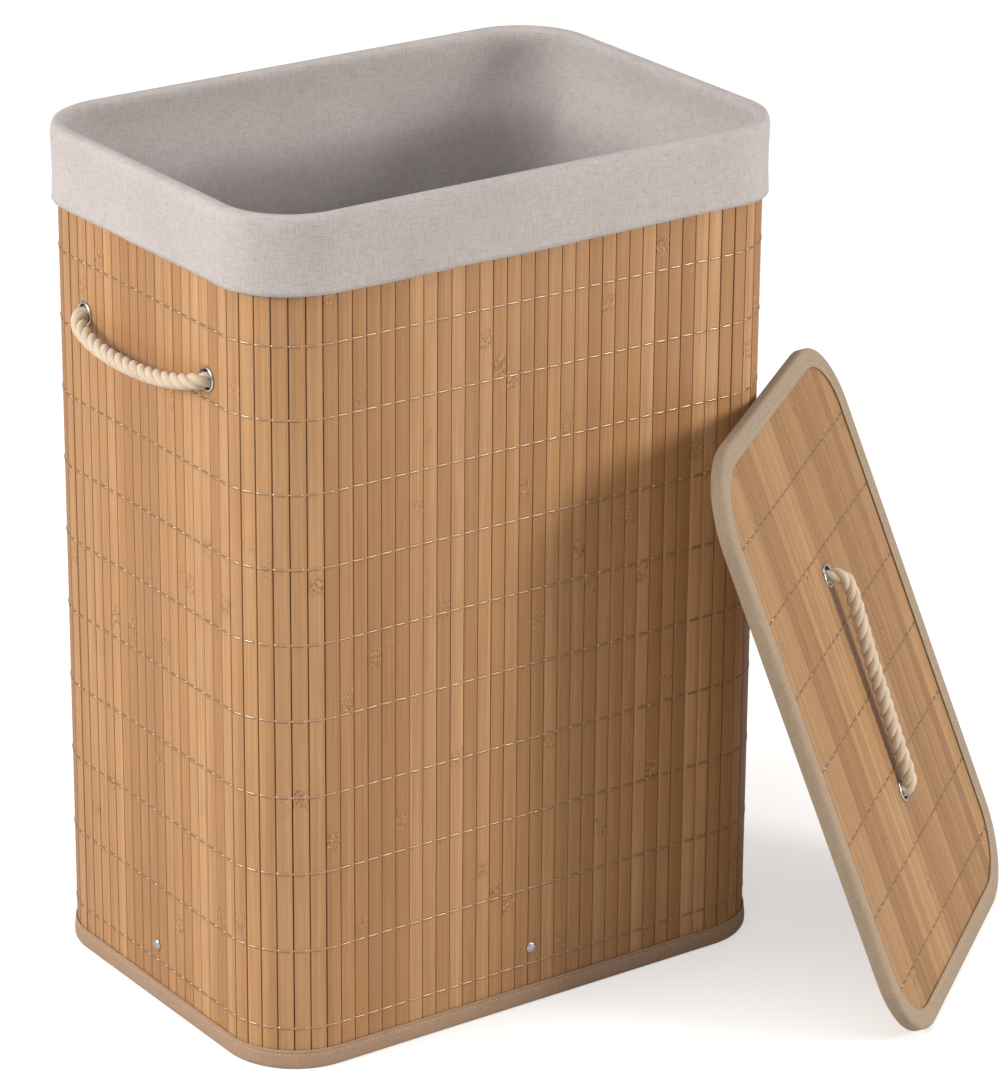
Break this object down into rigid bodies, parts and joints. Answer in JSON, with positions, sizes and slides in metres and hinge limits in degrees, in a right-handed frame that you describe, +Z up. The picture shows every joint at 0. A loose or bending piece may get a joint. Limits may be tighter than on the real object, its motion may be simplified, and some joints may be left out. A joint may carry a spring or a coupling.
{
  "type": "laundry hamper with lid",
  "caption": "Upright slatted bamboo laundry hamper with a fabric liner folded over the rim, rope handles and a loose lid that leans on its corner.",
  "frame": {"origin": "middle of the base panel's underside, on the floor", "axes": "+Z up, +X along the hamper's long side towards the lid, +Y from the front to the rear"},
  "size_m": [0.6251, 0.5061, 0.6],
  "materials": {
    "bamboo": "satin, split bamboo",
    "weave": "twisted cotton cord",
    "tape": "woven cotton tape",
    "linen": "off-white linen weave",
    "rope": "three-strand twisted cotton",
    "chrome": "polished",
    "steel": "drawn wire",
    "nylon": "moulded",
    "board": "non-woven cover over board"
  },
  "bodies": {
    "hamper": {"base_panel": "board", "bottom_binding": "tape", "brace_rod_long": "steel", "brace_rod_short": "steel", "eyelet_left_front": "chrome", "eyelet_left_rear": "chrome", "eyelet_right_front": "chrome", "eyelet_right_rear": "chrome", "eyelet_washer_left_front": "chrome", "eyelet_washer_left_rear": "chrome", "eyelet_washer_right_front": "chrome", "eyelet_washer_right_rear": "chrome", "rivet_front": "chrome", "rivet_left": "chrome", "rivet_rear": "chrome", "rivet_right": "chrome", "rod_clip_front": "nylon", "rod_clip_left": "nylon", "rod_clip_rear": "nylon", "rod_clip_right": "nylon", "rope_knot_left_front": "rope", "rope_knot_left_rear": "rope", "rope_knot_right_front": "rope", "rope_knot_right_rear": "rope", "slat_corner_front_left": "bamboo", "slat_corner_front_right": "bamboo", "slat_corner_rear_left": "bamboo", "slat_corner_rear_right": "bamboo", "slat_wall_front": "bamboo", "slat_wall_left": "bamboo", "slat_wall_rear": "bamboo", "slat_wall_right": "bamboo", "top_binding": "tape", "weave_cord_01": "weave", "weave_cord_02": "weave", "weave_cord_03": "weave", "weave_cord_04": "weave", "weave_cord_05": "weave", "weave_cord_06": "weave", "weave_cord_07": "weave", "weave_cord_08": "weave", "weave_cord_09": "weave", "weave_cord_10": "weave", "weave_cord_11": "weave"},
    "liner": {"liner_bag": "linen"},
    "left_rope": {"carry_rope_left": "rope"},
    "right_rope": {"carry_rope_right": "rope"},
    "lid": {"lid_backing_board": "board", "lid_binding": "tape", "lid_eyelet_lower": "chrome", "lid_eyelet_upper": "chrome", "lid_eyelet_washer_lower": "chrome", "lid_eyelet_washer_upper": "chrome", "lid_rope_knot_lower": "rope", "lid_rope_knot_upper": "rope", "lid_slat_mat": "bamboo"},
    "lid_rope": {"lid_rope": "rope"}
  },
  "joints": [
    {"name": "liner_lift", "type": "slide", "parent": "hamper", "child": "liner", "axis": [0, 0, 1], "range_m": [0, 0.6]},
    {"name": "left_rope_swing", "type": "hinge", "parent": "hamper", "child": "left_rope", "pos_m": [-0.2173, 0, 0.478], "axis": [0, 1, 0], "range_deg": [0, 150]},
    {"name": "right_rope_swing", "type": "hinge", "parent": "hamper", "child": "right_rope", "pos_m": [0.2173, 0, 0.478], "axis": [0, -1, 0], "range_deg": [0, 150]},
    {"name": "lid_lift", "type": "slide", "parent": "hamper", "child": "lid", "axis": [0.1579, -0.2051, 0.9659], "range_m": [0, 0.25]},
    {"name": "lid_rope_swing", "type": "hinge", "parent": "lid", "child": "lid_rope", "pos_m": [0.24103, -0.21561, 0.2071], "axis": [-0.2197, 0.2852, 0.933], "range_deg": [-80, 80]}
  ]
}
